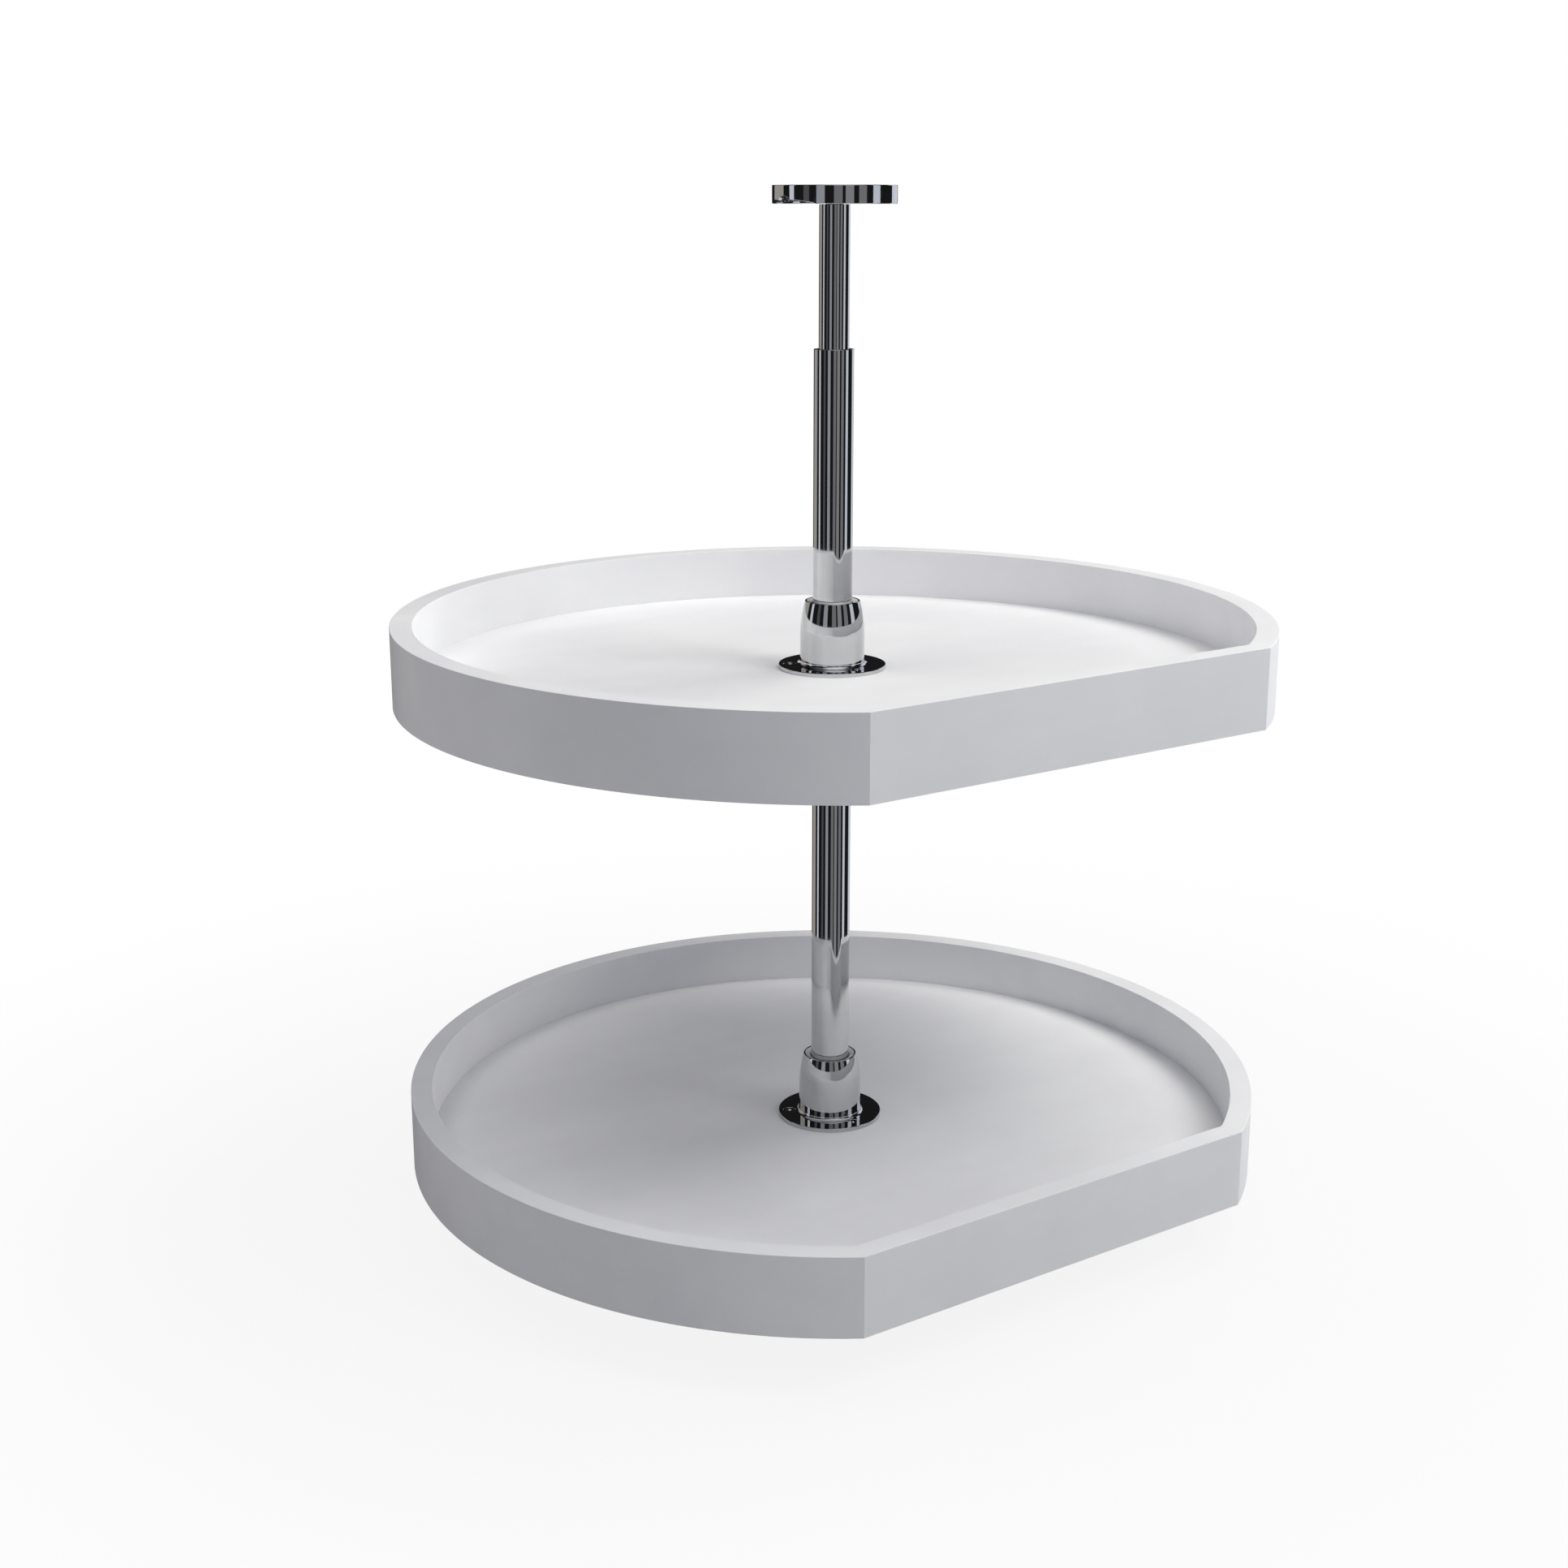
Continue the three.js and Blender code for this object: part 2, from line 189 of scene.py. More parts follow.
def cutAway(piece, tool):
    selectOnly(piece)
    cut = piece.modifiers.new("cut", "BOOLEAN")
    cut.operation = "DIFFERENCE"
    cut.solver = "EXACT"
    cut.object = tool
    bpy.ops.object.modifier_apply(modifier=cut.name)
    bpy.data.objects.remove(tool, do_unlink=True)
    return piece


def cutRound(piece, tool, places):
    # the same cut at each place round the pole
    for x, y in places:
        cutAway(piece, copyPiece(tool, "tool", x, y))
    bpy.data.objects.remove(tool, do_unlink=True)
    return piece


def boxTool(low, high):
    selectOnly()
    middle = [(a + b) / 2 for a, b in zip(low, high)]
    size = [b - a for a, b in zip(low, high)]
    bpy.ops.mesh.primitive_cube_add(size=1, location=middle, scale=size)
    return nameFresh("tool")


# shader wires

def setStops(ramp, stops):
    for place, colour in stops[2:]:
        ramp.elements.new(place)
    for element, (place, colour) in zip(ramp.elements, stops):
        element.position = place
        element.color = colour


class Wire:
    # a socket that plain arithmetic works on, each step being a Math node

    def __init__(self, tree, socket=None):
        self.tree = tree
        self.socket = socket

    def node(self, kind, settings=None, values=None, output=0):
        made = self.tree.nodes.new(kind)
        for key, value in (settings or {}).items():
            if key == "stops":
                setStops(made.color_ramp, value)
            elif key == "interpolation":
                made.color_ramp.interpolation = value
            else:
                setattr(made, key, value)
        for key, value in (values or {}).items():
            if isinstance(value, Wire):
                self.tree.links.new(value.socket, made.inputs[key])
            else:
                made.inputs[key].default_value = value
        return Wire(self.tree, made.outputs[output] if len(made.outputs) else None)

    def math(self, operation, first, second=0.0):
        return self.node("ShaderNodeMath", {"operation": operation}, {0: first, 1: second})

    def mix(self, share, first, second):
        # two colours by share; these are the numbers of the node's colour sockets
        values = {0: share, 6: first, 7: second}
        return self.node("ShaderNodeMix", {"data_type": "RGBA"}, values, 2)

    def noise(self, place, scale, detail, roughness=0.5):
        values = {"Vector": place, "Scale": scale, "Detail": detail, "Roughness": roughness}
        return self.node("ShaderNodeTexNoise", values=values)

    def between(self, value, low, high, shape="LINEAR"):
        # 0 at low and 1 at high
        values = {"Value": value, "From Min": low, "From Max": high}
        return self.node("ShaderNodeMapRange", {"interpolation_type": shape}, values)

    def split(self):
        # a vector's X, Y and Z
        apart = self.node("ShaderNodeSeparateXYZ", values={"Vector": self}).socket.node
        return [Wire(self.tree, part) for part in apart.outputs]

    def __add__(self, other):
        return self.math("ADD", self, other)

    def __radd__(self, other):
        return self.math("ADD", other, self)

    def __sub__(self, other):
        return self.math("SUBTRACT", self, other)

    def __rsub__(self, other):
        return self.math("SUBTRACT", other, self)

    def __mul__(self, other):
        return self.math("MULTIPLY", self, other)

    def __rmul__(self, other):
        return self.math("MULTIPLY", other, self)

    def __truediv__(self, other):
        return self.math("DIVIDE", self, other)

    def __rtruediv__(self, other):
        return self.math("DIVIDE", other, self)


def paint(red, green, blue):
    # screen levels from 0 to 255 as a shader colour
    def linear(level):
        share = level / 255
        return share / 12.92 if share <= 0.04045 else ((share + 0.055) / 1.055) ** 2.4
    return (linear(red), linear(green), linear(blue), 1.0)


def startFinish(name):
    material = bpy.data.materials.new(name)
    material.use_nodes = True
    material.node_tree.nodes.clear()
    wire = Wire(material.node_tree)
    place = wire.node("ShaderNodeTexCoord", output="Object")
    return material, wire, place


def endFinish(wire, values, bump=None, depth=0.0):
    # bump runs from 0 to 1, and depth is how high its 1 stands
    if bump:
        settings = {"Height": bump, "Strength": 1.0, "Distance": depth}
        values["Normal"] = wire.node("ShaderNodeBump", values=settings)
    surface = wire.node("ShaderNodeBsdfPrincipled", values=values)
    wire.node("ShaderNodeOutputMaterial", values={"Surface": surface})


lacquer = {
    "light": paint(247, 247, 248),
    "shade": paint(239, 239, 241),
    "clouds": (9.0, 5.0, 0.6),    # a noise's scale, detail and, if it isn't plain, its roughness
    "cloudShare": 0.6,
    "stretch": (3.0, 22.0, 22.0),
    "streaks": (1.0, 4.0),
    "streakShare": 0.4,
    "mottleLow": 0.35,
    "mottleHigh": 0.65,
    "roughness": 0.42,
    "roughnessSpread": 0.08,
    "refraction": 1.45,
    "peel": (420.0, 2.0),
    "peelDepth": 0.00002,
}


def whiteLacquer():
    material, wire, place = startFinish("whiteLacquer")
    clouds = wire.noise(place, *lacquer["clouds"])
    stretched = wire.node("ShaderNodeMapping", values={"Vector": place, "Scale": lacquer["stretch"]})
    streaks = wire.noise(stretched, *lacquer["streaks"])
    peel = wire.noise(place, *lacquer["peel"])
    mottle = clouds * lacquer["cloudShare"] + streaks * lacquer["streakShare"]
    tone = wire.between(mottle, lacquer["mottleLow"], lacquer["mottleHigh"])
    values = {
        "Base Color": wire.mix(tone, lacquer["shade"], lacquer["light"]),
        "Roughness": lacquer["roughness"] + (clouds - 0.5) * lacquer["roughnessSpread"],
        "IOR": lacquer["refraction"],
    }
    endFinish(wire, values, peel, lacquer["peelDepth"])
    return material


plating = {
    "bright": (0.58, 0.585, 0.59, 1.0),
    "dull": (0.54, 0.545, 0.55, 1.0),
    "roughness": 0.035,
    "smudgeRoughness": 0.045,
    "smudges": (38.0, 4.0),
    "smudgeLow": 0.5,
    "smudgeHigh": 0.8,
}


def chromePlate():
    material, wire, place = startFinish("chromePlate")
    smudges = wire.noise(place, *plating["smudges"])
    worn = wire.between(smudges, plating["smudgeLow"], plating["smudgeHigh"])
    values = {
        "Base Color": wire.mix(worn, plating["bright"], plating["dull"]),
        "Roughness": plating["roughness"] + worn * plating["smudgeRoughness"],
        "Metallic": 1.0,
    }
    endFinish(wire, values)
    return material


moulding = {
    "clouds": (60.0, 3.0),
    "grain": (900.0, 3.0),
    "grainDepth": 0.00002,
    "grainRoughness": 0.1,
}


def mouldedNylon(name, light, dark, roughness):
    material, wire, place = startFinish(name)
    clouds = wire.noise(place, *moulding["clouds"])
    grain = wire.noise(place, *moulding["grain"])
    values = {
        "Base Color": wire.mix(clouds, dark, light),
        "Roughness": roughness + grain * moulding["grainRoughness"],
    }
    endFinish(wire, values, grain, moulding["grainDepth"])
    return material


turning = {
    "lines": (2600.0, 2.0),
    "lineDepth": 0.000015,
    "lineShare": 0.5,
    "stains": (70.0, 4.0),
    "stainShare": 0.5,
    "stainRoughness": 0.15,
}


def turnedMetal(name, light, dark, roughness):
    # fine lathe lines: rings on flat faces and threads of light round the sides
    material, wire, place = startFinish(name)
    across, along, height = place.split()
    radius = wire.math("SQRT", across * across + along * along)
    unrolled = wire.node("ShaderNodeCombineXYZ", values={"X": radius, "Y": height})
    lines = wire.noise(unrolled, *turning["lines"])
    stains = wire.noise(place, *turning["stains"])
    tone = lines * turning["lineShare"] + stains * turning["stainShare"]
    values = {
        "Base Color": wire.mix(tone, dark, light),
        "Roughness": roughness + stains * turning["stainRoughness"],
        "Metallic": 1.0,
    }
    endFinish(wire, values, lines, turning["lineDepth"])
    return material


finishes = {
    "tray_white": whiteLacquer(),
    "chrome": chromePlate(),
    "white_nylon": mouldedNylon(
        "whiteNylon", (0.90, 0.90, 0.89, 1), (0.86, 0.86, 0.85, 1), 0.42
    ),
    "black_nylon": mouldedNylon(
        "blackNylon", (0.020, 0.020, 0.022, 1), (0.012, 0.012, 0.013, 1), 0.45
    ),
    "steel": turnedMetal("turnedSteel", (0.56, 0.57, 0.58, 1), (0.44, 0.45, 0.46, 1), 0.25),
    "brass": turnedMetal("turnedBrass", (0.70, 0.52, 0.24, 1), (0.60, 0.42, 0.18, 1), 0.22),
}


def finishPiece(piece, finish, body, node):
    selectOnly(piece)
    bpy.ops.object.shade_smooth_by_angle(angle=radians(smoothAngle))
    weighted = piece.modifiers.new("weighted", "WEIGHTED_NORMAL")
    weighted.keep_sharp = True
    bpy.ops.object.modifier_apply(modifier=weighted.name)
    piece.data.materials.clear()
    piece.data.materials.append(finishes[finish])
    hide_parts(node)
    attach(piece, body)


print("stage: finishes ready")

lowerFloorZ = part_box("lower_base_panel")[1].z
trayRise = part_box("upper_base_panel")[1].z - lowerFloorZ


def makePair(make, title, finish, body, node):
    # made in the lower tray's place, and copied up to the upper one
    lower = make("lower" + title)
    upper = copyPiece(lower, "upper" + title, z=trayRise)
    finishPiece(lower, finish, "lower_" + body, "lower_" + node)
    finishPiece(upper, finish, "upper_" + body, "upper_" + node)


# trays

tray = {
    "radius": 0.2794,
    "flatDistance": 0.2373,
    "bandHeight": 0.05,
    "bandWall": 0.014,
    "panelThickness": 0.015,
    "edgeReach": 0.006,
    "edgeThickness": 0.01,
    "rimRounding": 0.0004,
    "seam": 0.00004,
    "sweepStart": 240,    # degrees, both ends of the sweep lying past the mitres
    "sweep": 300,
    "sweepSteps": 240,
    "mitreZone": -0.19,    # what the mitres may cut of the curved band lies in front of this
    "stockHalf": 0.16764,    # half of the front band, before its mitres
    "panelSteps": 288,
}
trayBottomZ = lowerFloorZ - tray["panelThickness"]
rebate = tray["bandWall"] - tray["edgeReach"] - tray["seam"]
bandSection = [
    (0, 0),
    (0, tray["bandHeight"], tray["rimRounding"]),
    (tray["bandWall"], tray["bandHeight"], tray["rimRounding"]),
    (tray["bandWall"], tray["edgeThickness"]),
    (rebate, tray["edgeThickness"]),
    (rebate, 0),
]


def cornerAt(inset, side):
    flat = tray["flatDistance"] - inset
    return Vector((side * sqrt((tray["radius"] - inset) ** 2 - flat ** 2), -flat, 0))


def mitre(side, shift, keepInside):
    # cuts what is selected at the join of the round and the straight band
    outer = cornerAt(0, side)
    run = outer - cornerAt(tray["bandWall"], side)
    cutOff(
        outer + Vector((side * shift, 0, 0)),
        Vector((-run.y, run.x, 0)) * side * (-1 if keepInside else 1),
    )


def makeCurvedBand(name):
    bearing = radians(tray["sweepStart"])
    piece = drawSection(
        name,
        bandSection,
        lambda inset, height: Vector((
            (tray["radius"] - inset) * cos(bearing),
            (tray["radius"] - inset) * sin(bearing),
            height + trayBottomZ,
        )),
    )
    bpy.ops.mesh.edge_face_add()
    bpy.ops.mesh.spin(
        steps=tray["sweepSteps"], angle=radians(tray["sweep"]), center=(0, 0, 0), axis=(0, 0, 1)
    )
    for side in (1, -1):
        pickFaces(piece, lambda centre: centre.y < tray["mitreZone"] and centre.x * side > 0)
        mitre(side, tray["seam"], False)
    return closeUp(piece)


def makeFrontBand(name):
    half = tray["stockHalf"]
    piece = drawSection(
        name,
        bandSection,
        lambda inset, height: Vector((-half, inset - tray["flatDistance"], height + trayBottomZ)),
    )
    bpy.ops.mesh.edge_face_add()
    bpy.ops.mesh.extrude_region_move(TRANSFORM_OT_translate={"value": (2 * half, 0, 0)})
    for side in (1, -1):
        bpy.ops.mesh.select_all(action="SELECT")
        mitre(side, 0, True)
    return closeUp(piece)


# hubs

hub = {
    "flangeRadius": 0.0345,
    "flangeThickness": 0.0025,
    "flangeRounding": 0.0004,
    "seat": 0.0005,
    "radius": 0.0207,
    "height": 0.0435,
    "straight": 0.02,
    "fillet": 0.0024,
    "sideSteps": 14,
    "mouthRadius": 0.0175,
    "mouthRounding": 0.0003,
    "roundingSteps": 5,
    "bore": 0.0163,
}
hubScrew = {
    "count": 3,
    "circle": 0.0273,
    "firstTurn": 30,    # degrees
    "steps": 64,
    "headRadius": 0.00415,
    "headRounding": 0.0002,
    "shankRadius": 0.0019,
    "length": 0.014,
    "point": 0.002,
    "sink": 0.0001,
    "ringGap": 0.00012,
    "recessLength": 0.005,
    "recessWidth": 0.0011,
    "recessDepth": 0.0015,
    "recessTaper": 0.4,    # the slots' floor, as a share of their mouth
    "coneRadius": 0.0015,
    "conePoint": 0.0005,
    "coneSteps": 32,
    "headTurns": (12, 47, 75),    # how each head happens to stand
    "upperHeadTurn": 30,    # and how much further in the upper tray
}
hubScrewPlaces = ringPlaces(hubScrew["count"], hubScrew["circle"], hubScrew["firstTurn"])


def makeBasePanel(name):
    edgeRadius = tray["radius"] - tray["bandWall"] + tray["edgeReach"]
    floorRadius = tray["radius"] - tray["bandWall"] - tray["seam"]
    seatRadius = hub["flangeRadius"] + tray["seam"]
    bottom = -tray["panelThickness"]
    step = tray["edgeThickness"] + bottom
    piece = turnPiece(
        name,
        [
            (hub["bore"], bottom),
            (edgeRadius, bottom),
            (edgeRadius, step),
            (floorRadius, step),
            (floorRadius, 0),
            (seatRadius, 0),
            (seatRadius, -hub["seat"]),
            (hub["bore"], -hub["seat"]),
        ],
        lowerFloorZ,
        tray["panelSteps"],
    )
    edgeFlat = tray["flatDistance"] - tray["radius"] + edgeRadius
    floorFlat = tray["flatDistance"] - tray["radius"] + floorRadius
    editPiece(piece)
    bpy.ops.mesh.select_all(action="SELECT")
    cutOff((0, -edgeFlat, 0), (0, 1, 0))
    closeUp(piece)
    reach = tray["radius"]
    stepTool = boxTool(
        (-reach, -reach, lowerFloorZ + step), (reach, -floorFlat, lowerFloorZ + reach)
    )
    return cutAway(piece, stepTool)


def makeHub(name):
    # above its straight part the bell's side is an arc that draws in to the mouth
    rise = hub["height"] - hub["straight"]
    drawIn = hub["radius"] - hub["mouthRadius"]
    sideRadius = (rise ** 2 + drawIn ** 2) / (2 * drawIn)
    side = []
    for i in range(hub["sideSteps"] + 1):
        turn = asin(rise / sideRadius) * i / hub["sideSteps"]
        inwards = sideRadius * (1 - cos(turn))
        side.append((hub["radius"] - inwards, hub["straight"] + sideRadius * sin(turn)))
    piece = turnPiece(
        name,
        [
            (hub["bore"], -hub["seat"]),
            (hub["flangeRadius"], -hub["seat"]),
            (hub["flangeRadius"], hub["flangeThickness"], hub["flangeRounding"]),
            (hub["radius"], hub["flangeThickness"], hub["fillet"]),
            *side[:-1],
            (*side[-1], hub["mouthRounding"]),
            (hub["bore"], hub["height"], hub["mouthRounding"]),
        ],
        lowerFloorZ,
        segments=hub["roundingSteps"],
    )
    headRadius = hubScrew["headRadius"] + hubScrew["ringGap"]
    neck = hubScrew["shankRadius"] + hubScrew["ringGap"]
    headDepth = headRadius - neck
    sink = turnPiece(
        "tool",
        [
            (0, -hub["seat"] - overCut),
            (neck, -hub["seat"] - overCut),
            (neck, hub["flangeThickness"] - headDepth),
            (headRadius, hub["flangeThickness"]),
            (headRadius, hub["flangeThickness"] + overCut),
            (0, hub["flangeThickness"] + overCut),
        ],
        lowerFloorZ,
        hubScrew["steps"],
    )
    return cutRound(piece, sink, hubScrewPlaces)


def makeHubScrew(name):
    # stands on the pole's axis, with the top of its head at height 0
    headDepth = hubScrew["headRadius"] - hubScrew["shankRadius"]
    piece = turnPiece(
        name,
        [
            (0, -hubScrew["length"]),
            (hubScrew["shankRadius"], hubScrew["point"] - hubScrew["length"]),
            (hubScrew["shankRadius"], -headDepth),
            (hubScrew["headRadius"], 0, hubScrew["headRounding"]),
            (0, 0),
        ],
        steps=hubScrew["steps"],
    )
    # a cross recess: two slots that narrow downwards, and a cone in the middle
    along = hubScrew["recessLength"] / 2
    across = hubScrew["recessWidth"] / 2
    depth = hubScrew["recessDepth"]
    taper = hubScrew["recessTaper"]
    for x, y in ((along, across), (across, along)):
        slot = boxTool((-x, -y, -depth), (x, y, depth))
        editPiece(slot)
        pickFaces(slot, lambda centre: centre.z < -depth / 2)
        bpy.ops.transform.resize(value=(taper, taper, 1), center_override=(0, 0, -depth))
        cutAway(piece, closeUp(slot))
    slope = (hubScrew["coneRadius"] - hubScrew["conePoint"]) / depth
    cone = turnPiece(
        "tool",
        [
            (0, -depth),
            (hubScrew["conePoint"], -depth),
            (hubScrew["coneRadius"] + slope * overCut, overCut),
            (0, overCut),
        ],
        steps=hubScrew["coneSteps"],
    )
    return cutAway(piece, cone)


hubBush = {
    "top": 0.0432,
    "bodyRadius": 0.01625,
    "lip": 0.0003,
    "funnelDepth": 0.0012,
    "funnelBore": 0.0133,
    "funnelLand": 0.002,
    "bore": 0.0128,
    "flangeRadius": 0.022,
    "flangeThickness": 0.0025,
    "rounding": 0.0003,
}


def makeHubBush(name):
    underside = -tray["panelThickness"]
    funnelEnd = hubBush["top"] - hubBush["funnelDepth"]
    return turnPiece(
        name,
        [
            (hubBush["bore"], underside - hubBush["flangeThickness"]),
            (hubBush["flangeRadius"], underside - hubBush["flangeThickness"], hubBush["rounding"]),
            (hubBush["flangeRadius"], underside, hubBush["rounding"]),
            (hubBush["bodyRadius"], underside),
            (hubBush["bodyRadius"], hubBush["top"]),
            (hubBush["bodyRadius"] - hubBush["lip"], hubBush["top"]),
            (hubBush["funnelBore"], funnelEnd, hubBush["rounding"]),
            (hubBush["funnelBore"], funnelEnd - hubBush["funnelLand"]),
            (hubBush["bore"], funnelEnd - hubBush["funnelLand"]),
        ],
        lowerFloorZ,
    )


makePair(makeCurvedBand, "CurvedBand", "tray_white", "tray", "curved_band")
makePair(makeFrontBand, "FrontBand", "tray_white", "tray", "front_band")
makePair(makeBasePanel, "BasePanel", "tray_white", "tray", "base_panel")
makePair(makeHub, "Hub", "chrome", "tray", "hub")
makePair(makeHubBush, "HubBush", "white_nylon", "tray", "hub_bush")

screwPattern = makeHubScrew("screwPattern")
lowerScrewZ = lowerFloorZ + hub["flangeThickness"] - hubScrew["sink"]
levels = (
    ("lower", lowerScrewZ, 0),
    ("upper", lowerScrewZ + trayRise, hubScrew["upperHeadTurn"]),
)
for level, screwZ, extraTurn in levels:
    for number, (x, y) in enumerate(hubScrewPlaces, 1):
        screw = copyPiece(screwPattern, f"{level}HubScrew{number}", x, y, screwZ)
        headTurn = hubScrew["headTurns"][number - 1] + extraTurn
        turnAbout(screw, radians(headTurn), "Z", (x, y, screwZ))
        finishPiece(screw, "chrome", f"{level}_tray", f"{level}_hub_screw_{number}")
bpy.data.objects.remove(screwPattern, do_unlink=True)
print("stage: trays made")

# collars and washers under the trays

carrier = {
    "bore": 0.0128,
    "collarRadius": 0.022,
    "collarChamfer": 0.0008,
    "washerRadius": 0.021,
    "washerRounding": 0.0003,
    "screwRadius": 0.003,
    "screwGap": 0.0001,
    "screwChamfer": 0.0004,
    "screwSteps": 48,
    "socketRadius": 0.0017,
    "socketDepth": 0.003,
    "socketSides": 6,
}


def makeThrustWasher(name):
    low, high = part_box("lower_thrust_washer")
    return turnPiece(
        name,
        [
            (carrier["bore"], low.z),
            (carrier["washerRadius"], low.z, carrier["washerRounding"]),
            (carrier["washerRadius"], high.z, carrier["washerRounding"]),
            (carrier["bore"], high.z),
        ],
    )


def radialTool(radius, near, far, height, sides):
    # a bar that runs out along +X
    selectOnly()
    bpy.ops.mesh.primitive_cylinder_add(
        vertices=sides,
        radius=radius,
        depth=far - near,
        location=((near + far) / 2, 0, height),
        rotation=(0, pi / 2, 0),
    )
    return nameFresh("tool")


def makeStopCollar(name):
    low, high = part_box("lower_stop_collar")
    chamfer = carrier["collarChamfer"]
    piece = turnPiece(
        name,
        [
            (carrier["bore"], low.z, chamfer / 2),
            (carrier["collarRadius"], low.z, chamfer),
            (carrier["collarRadius"], high.z, chamfer),
            (carrier["bore"], high.z, chamfer / 2),
        ],
        segments=1,
    )
    hole = radialTool(
        carrier["screwRadius"] + carrier["screwGap"],
        carrier["bore"] / 2,
        carrier["collarRadius"] + overCut,
        (low.z + high.z) / 2,
        carrier["screwSteps"],
    )
    return cutAway(piece, hole)


def makeCollarScrew(name):
    low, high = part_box("lower_collar_screw")
    middle = (low.z + high.z) / 2
    radius = carrier["screwRadius"]
    piece = drawSection(
        name,
        [
            (low.x, 0),
            (low.x, radius, carrier["screwChamfer"]),
            (high.x, radius, carrier["screwChamfer"]),
            (high.x, 0),
        ],
        lambda along, out: Vector((along, 0, middle + out)),
        closed=False,
        segments=1,
    )
    bpy.ops.mesh.spin(
        steps=carrier["screwSteps"], angle=2 * pi, center=(0, 0, middle), axis=(1, 0, 0)
    )
    closeUp(piece)
    socket = radialTool(
        carrier["socketRadius"],
        high.x - carrier["socketDepth"],
        high.x + overCut,
        middle,
        carrier["socketSides"],
    )
    return cutAway(piece, socket)


makePair(makeThrustWasher, "ThrustWasher", "steel", "collar", "thrust_washer")
makePair(makeStopCollar, "StopCollar", "steel", "collar", "stop_collar")
makePair(makeCollarScrew, "CollarScrew", "steel", "collar", "collar_screw")
print("stage: collars made")

# end plates

endPlate = {
    "radius": 0.0383,
    "steps": 496,
    "thickness": 0.011,
    "web": 0.0045,
    "rimWall": 0.0025,
    "rounding": 0.0005,
    "fillet": 0.001,
    "bossRadius": 0.012,
    "pocketRadius": 0.0058,
    "pocketFloor": 0.003,
    "holes": 3,
    "holeCircle": 0.024,
    "holeRadius": 0.0024,
    "holeSteps": 48,
    "sinkRadius": 0.0042,
    "reliefHalf": 0.0256,
    "reliefTopHalf": 0.0118,
    "reliefHeight": 0.002,
    "archSteps": 12,    # half the arch, in steps of the rim, so 5.8 mm
    "archRise": 0.0022,
    "edgeBreak": 0.0005,
    "edgeBreakSteps": 3,
    "edgeAngle": 30,    # an edge sharper than this is broken
}


def makeEndPlate(name):
    # lies on the floor with its open side up and its relief towards -X
    top = endPlate["thickness"]
    rimBore = endPlate["radius"] - endPlate["rimWall"]
    rounding = endPlate["rounding"]
    piece = turnPiece(
        name,
        [
            (0, 0),
            (endPlate["radius"], 0, rounding),
            (endPlate["radius"], top, rounding),
            (rimBore, top, rounding),
            (rimBore, endPlate["web"], endPlate["fillet"]),
            (endPlate["bossRadius"], endPlate["web"], endPlate["fillet"]),
            (endPlate["bossRadius"], top, rounding),
            (endPlate["pocketRadius"], top, rounding),
            (endPlate["pocketRadius"], endPlate["pocketFloor"]),
            (0, endPlate["pocketFloor"]),
        ],
        steps=endPlate["steps"],
    )
    sinkDepth = endPlate["sinkRadius"] - endPlate["holeRadius"]
    hole = turnPiece(
        "tool",
        [
            (0, -overCut),
            (endPlate["holeRadius"], -overCut),
            (endPlate["holeRadius"], endPlate["web"] - sinkDepth),
            (endPlate["sinkRadius"], endPlate["web"]),
            (endPlate["sinkRadius"], endPlate["web"] + overCut),
            (0, endPlate["web"] + overCut),
        ],
        steps=endPlate["holeSteps"],
    )
    cutRound(piece, hole, ringPlaces(endPlate["holes"], endPlate["holeCircle"]))
    low = top - endPlate["reliefHeight"]
    # the arch's corners lie on the rim's own upright edges, so its edge can be broken cleanly
    archSteps = endPlate["archSteps"]
    places = [
        endPlate["radius"] * sin(2 * pi * i / endPlate["steps"])
        for i in range(-archSteps, archSteps + 1)
    ]
    arch = [
        (place, low - endPlate["archRise"] * sqrt(1 - (place / places[0]) ** 2))
        for place in places
    ]
    relief = drawSection(
        "tool",
        [
            (-endPlate["reliefHalf"], top + overCut),
            (-endPlate["reliefHalf"], top),
            (-endPlate["reliefTopHalf"], low),
            *arch,
            (endPlate["reliefTopHalf"], low),
            (endPlate["reliefHalf"], top),
            (endPlate["reliefHalf"], top + overCut),
        ],
        lambda across, height: Vector((-endPlate["radius"] - overCut, across, height)),
    )
    inward = endPlate["radius"] - endPlate["bossRadius"]
    bpy.ops.mesh.edge_face_add()
    bpy.ops.mesh.extrude_region_move(TRANSFORM_OT_translate={"value": (inward, 0, 0)})
    closeUp(cutAway(piece, closeUp(relief)))
    editPiece(piece)
    bpy.ops.mesh.select_mode(type="EDGE")
    mesh = bmesh.from_edit_mesh(piece.data)
    for edge in mesh.edges:
        ends = [corner.co for corner in edge.verts]
        outside = all(end.xy.length > endPlate["radius"] - mergeWidth for end in ends)
        above = all(end.z > top / 2 for end in ends)
        if outside and above and edge.calc_face_angle(0) > radians(endPlate["edgeAngle"]):
            edge.select_set(True)
    bmesh.update_edit_mesh(piece.data)
    bpy.ops.mesh.bevel(
        offset=endPlate["edgeBreak"], segments=endPlate["edgeBreakSteps"], affect="EDGES"
    )
    selectOnly(piece)
    return piece


floorPlate = makeEndPlate("floorPlate")
topPlate = copyPiece(floorPlate, "topPlate")
turnAbout(topPlate, pi, "X")
shiftPiece(topPlate, z=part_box("top_plate")[1].z)
finishPiece(floorPlate, "chrome", "base", "floor_plate")
finishPiece(topPlate, "chrome", "top", "top_plate")
print("stage: end plates made")

# pole

